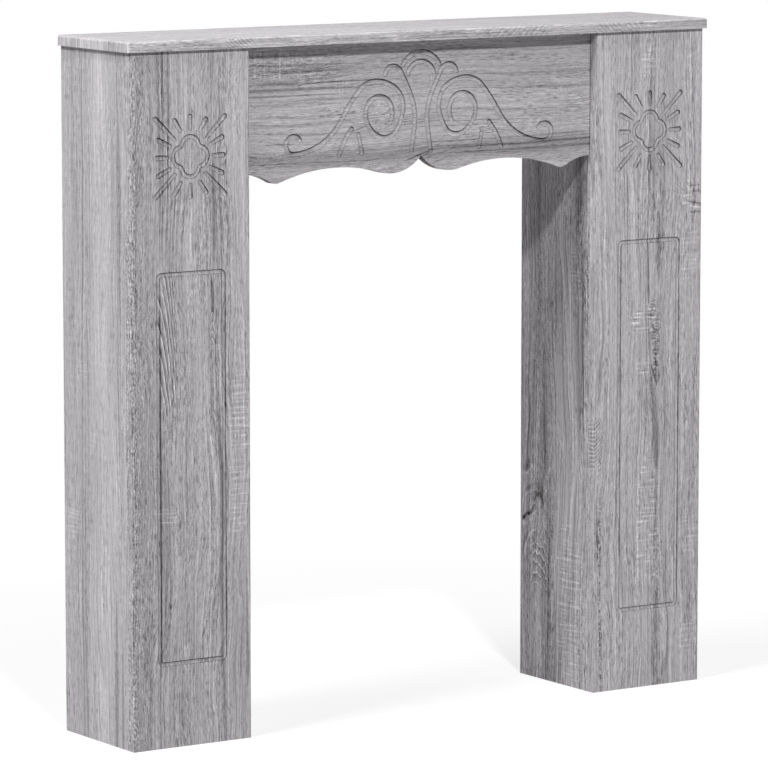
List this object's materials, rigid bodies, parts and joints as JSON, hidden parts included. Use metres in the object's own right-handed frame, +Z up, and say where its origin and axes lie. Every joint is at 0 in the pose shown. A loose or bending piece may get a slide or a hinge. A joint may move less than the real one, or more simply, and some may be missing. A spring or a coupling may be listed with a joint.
{
  "type": "fireplace surround",
  "caption": "Free-standing fireplace surround in grey sawn-oak decor board: plain mantel, open-backed box columns with routed sunbursts and panels, scalloped frieze with routed scrolls.",
  "frame": {"origin": "on the floor, at the middle of the plan", "axes": "+X to the viewer's right along the mantel, +Y from the front to the wall, +Z up"},
  "size_m": [1, 0.195, 1],
  "materials": {
    "oak_decor_board": "grey sawn-oak decor, matt, light pore emboss",
    "dowel_beech": "plain beech, ribbed",
    "cam_zinc": "bare zinc die casting",
    "bolt_steel": "bright zinc plate",
    "bracket_steel": "bright zinc plate, pressed"
  },
  "bodies": {
    "root": {"mantel_top": "oak_decor_board", "frieze_board": "oak_decor_board", "left_leg_front": "oak_decor_board", "left_leg_outer_side": "oak_decor_board", "left_leg_inner_side": "oak_decor_board", "left_leg_lower_brace": "oak_decor_board", "left_leg_upper_brace": "oak_decor_board", "right_leg_front": "oak_decor_board", "right_leg_outer_side": "oak_decor_board", "right_leg_inner_side": "oak_decor_board", "right_leg_lower_brace": "oak_decor_board", "right_leg_upper_brace": "oak_decor_board", "left_mantel_cam_bolts": "bolt_steel", "left_front_cam_bolts": "bolt_steel", "left_brace_cam_bolts": "bolt_steel", "right_mantel_cam_bolts": "bolt_steel", "right_front_cam_bolts": "bolt_steel", "right_brace_cam_bolts": "bolt_steel", "frieze_cam_bolts": "bolt_steel", "left_mantel_cam_locks": "cam_zinc", "left_front_cam_locks": "cam_zinc", "left_brace_cam_locks": "cam_zinc", "right_mantel_cam_locks": "cam_zinc", "right_front_cam_locks": "cam_zinc", "right_brace_cam_locks": "cam_zinc", "frieze_cam_locks": "cam_zinc", "left_mantel_dowels": "dowel_beech", "left_front_dowels": "dowel_beech", "left_brace_dowels": "dowel_beech", "right_mantel_dowels": "dowel_beech", "right_front_dowels": "dowel_beech", "right_brace_dowels": "dowel_beech", "frieze_end_dowels": "dowel_beech", "frieze_top_dowels": "dowel_beech", "left_wall_bracket": "bracket_steel", "right_wall_bracket": "bracket_steel", "left_bracket_screws": "bolt_steel", "right_bracket_screws": "bolt_steel"}
  },
  "joints": []
}
